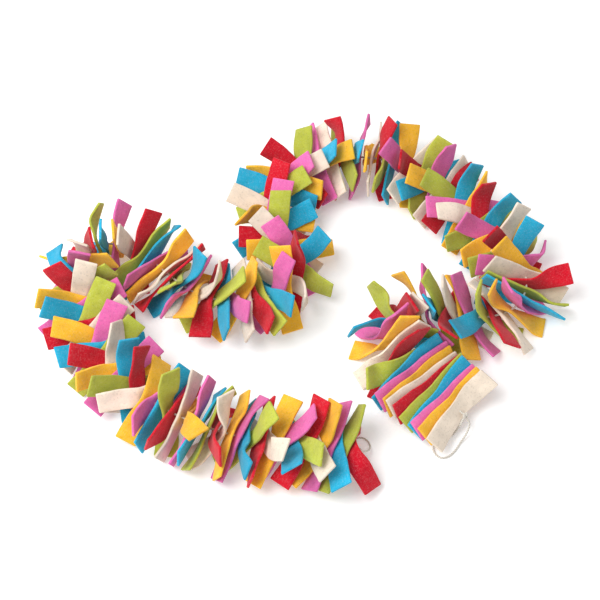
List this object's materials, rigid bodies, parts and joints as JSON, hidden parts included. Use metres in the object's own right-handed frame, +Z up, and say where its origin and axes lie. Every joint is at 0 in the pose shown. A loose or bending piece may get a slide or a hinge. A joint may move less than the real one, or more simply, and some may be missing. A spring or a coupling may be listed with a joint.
{
  "type": "felt garland",
  "caption": "Garland of coloured wool-felt strips threaded through their middles on a cotton cord, with a hanging loop at each end, lying in a loose S.",
  "frame": {"origin": "on the surface the garland lies on, under the middle of its bounding box", "axes": "+X along the longer side of the S, +Y across it, +Z up from the surface"},
  "size_m": [0.589, 0.4736, 0.0858],
  "materials": {
    "felt_cream": "wool felt, cream, heathered",
    "felt_yellow": "wool felt, golden yellow, heathered",
    "felt_pink": "wool felt, pink, heathered",
    "felt_turquoise": "wool felt, turquoise, heathered",
    "felt_green": "wool felt, lime green, heathered",
    "felt_red": "wool felt, deep red, heathered",
    "cotton": "twisted cotton cord, off-white"
  },
  "bodies": {
    "root": {"repeat_01": "felt_cream", "repeat_02": "felt_yellow", "repeat_03": "felt_pink", "repeat_04": "felt_turquoise", "repeat_05": "felt_green", "repeat_06": "felt_red", "repeat_07": "felt_cream", "repeat_08": "felt_yellow", "repeat_09": "felt_pink", "repeat_10": "felt_turquoise", "repeat_11": "felt_green", "repeat_12": "felt_red", "repeat_13": "felt_cream", "repeat_14": "felt_yellow", "repeat_15": "felt_pink", "repeat_16": "felt_turquoise", "repeat_17": "felt_green", "repeat_18": "felt_red", "repeat_19": "felt_cream", "repeat_20": "felt_yellow", "repeat_21": "felt_pink", "repeat_22": "felt_turquoise", "repeat_23": "felt_green", "repeat_24": "felt_red", "repeat_25": "felt_cream", "repeat_26": "felt_yellow", "repeat_27": "felt_pink", "repeat_28": "felt_turquoise", "repeat_29": "felt_green", "repeat_30": "felt_red", "knot_start": "cotton", "knot_end": "cotton", "loop_start": "cotton", "loop_end": "cotton"}
  },
  "joints": []
}
